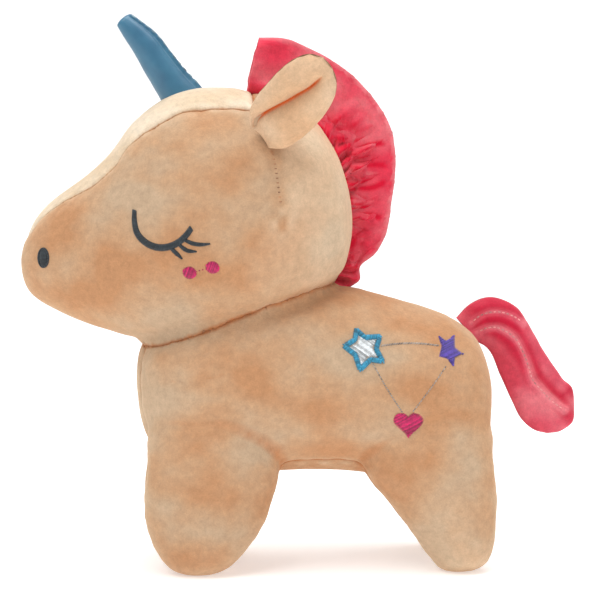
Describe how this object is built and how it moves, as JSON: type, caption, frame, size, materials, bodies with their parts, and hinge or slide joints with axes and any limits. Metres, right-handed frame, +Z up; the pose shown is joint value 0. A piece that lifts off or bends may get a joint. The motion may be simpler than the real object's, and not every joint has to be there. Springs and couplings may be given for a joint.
{
  "type": "plush unicorn",
  "caption": "Standing stuffed toy unicorn of short plush pile with a soft horn, leaf-shaped ears, gathered mane, quilted tail and embroidered closed eyes.",
  "frame": {"origin": "middle of the bounding box at floor level, under the belly", "axes": "+Z up, -X towards the nose, +Y towards the animal's right flank"},
  "size_m": [0.25, 0.134, 0.2461],
  "materials": {
    "plush_tan": "short brushed plush pile, warm tan",
    "plush_cream": "short brushed plush pile, pale cream",
    "plush_brown": "short brushed plush pile, light brown",
    "plush_mane": "gathered coral-pink fleece",
    "plush_tail": "quilted coral-pink fleece",
    "fibre_fill": "loose polyester fibre",
    "faux_leather_blue": "soft satin faux leather, steel blue",
    "thread_slate": "satin embroidery thread, slate",
    "thread_magenta": "satin embroidery thread, magenta",
    "thread_cyan": "satin embroidery thread, cyan",
    "thread_white": "satin embroidery thread, off-white",
    "thread_purple": "satin embroidery thread, purple",
    "thread_grey": "embroidery thread, warm grey",
    "thread_blue": "sewing thread, dark blue",
    "thread_pink": "sewing thread, deep pink",
    "thread_brown": "sewing thread, brown"
  },
  "bodies": {
    "body": {"body_panel_left": "plush_tan", "body_panel_right": "plush_tan", "belly_gusset": "plush_brown", "body_filling": "fibre_fill", "front_leg_filling_left": "fibre_fill", "front_leg_filling_right": "fibre_fill", "hind_leg_filling_left": "fibre_fill", "hind_leg_filling_right": "fibre_fill", "big_star_border_left": "thread_cyan", "big_star_border_right": "thread_cyan", "big_star_fill_left": "thread_white", "big_star_fill_right": "thread_white", "small_star_left": "thread_purple", "small_star_right": "thread_purple", "heart_left": "thread_magenta", "heart_right": "thread_magenta", "star_links_left": "thread_grey", "star_links_right": "thread_grey"},
    "neck": {"neck_filling": "fibre_fill"},
    "head": {"head_panel_left": "plush_tan", "head_panel_right": "plush_tan", "head_gusset": "plush_cream", "head_filling": "fibre_fill", "eye_left": "thread_slate", "eye_right": "thread_slate", "nostril_left": "thread_slate", "nostril_right": "thread_slate", "cheek_left": "thread_magenta", "cheek_right": "thread_magenta", "dart_stitches_left": "thread_brown", "dart_stitches_right": "thread_brown", "mane_left_layer": "plush_mane", "mane_right_layer": "plush_mane"},
    "left_ear": {"ear_left_front": "plush_tan", "ear_left_back": "plush_tan"},
    "right_ear": {"ear_right_front": "plush_tan", "ear_right_back": "plush_tan"},
    "horn": {"horn_cover": "faux_leather_blue", "horn_filling": "fibre_fill", "horn_stitching": "thread_blue"},
    "tail": {"tail_panel_left": "plush_tail", "tail_panel_right": "plush_tail", "tail_filling": "fibre_fill", "tail_topstitching": "thread_pink"}
  },
  "joints": [
    {"name": "neck_turn", "type": "hinge", "parent": "body", "child": "neck", "pos_m": [-0.029, 0, 0.1135], "axis": [-0.3007, 0, 0.9537], "range_deg": [-15, 15], "stiffness_Nm_per_rad": 0.5},
    {"name": "neck_nod", "type": "hinge", "parent": "neck", "child": "head", "pos_m": [-0.029, 0, 0.1135], "axis": [0, 1, 0], "range_deg": [-8, 5], "stiffness_Nm_per_rad": 0.8},
    {"name": "left_ear_flap", "type": "hinge", "parent": "head", "child": "left_ear", "pos_m": [-0.0143, -0.0433, 0.195], "axis": [0.8713, 0.01, -0.4907], "range_deg": [-30, 30], "stiffness_Nm_per_rad": 0.08},
    {"name": "right_ear_flap", "type": "hinge", "parent": "head", "child": "right_ear", "pos_m": [-0.0143, 0.0433, 0.195], "axis": [-0.8713, 0.01, 0.4907], "range_deg": [-30, 30], "stiffness_Nm_per_rad": 0.08},
    {"name": "horn_tilt", "type": "hinge", "parent": "head", "child": "horn", "pos_m": [-0.0556, 0, 0.2138], "axis": [0, 1, 0], "range_deg": [-8, 8], "stiffness_Nm_per_rad": 0.1},
    {"name": "tail_swing", "type": "hinge", "parent": "body", "child": "tail", "pos_m": [0.0794, 0, 0.1076], "axis": [0.6947, 0, -0.7193], "range_deg": [-60, 60], "stiffness_Nm_per_rad": 0.08}
  ]
}
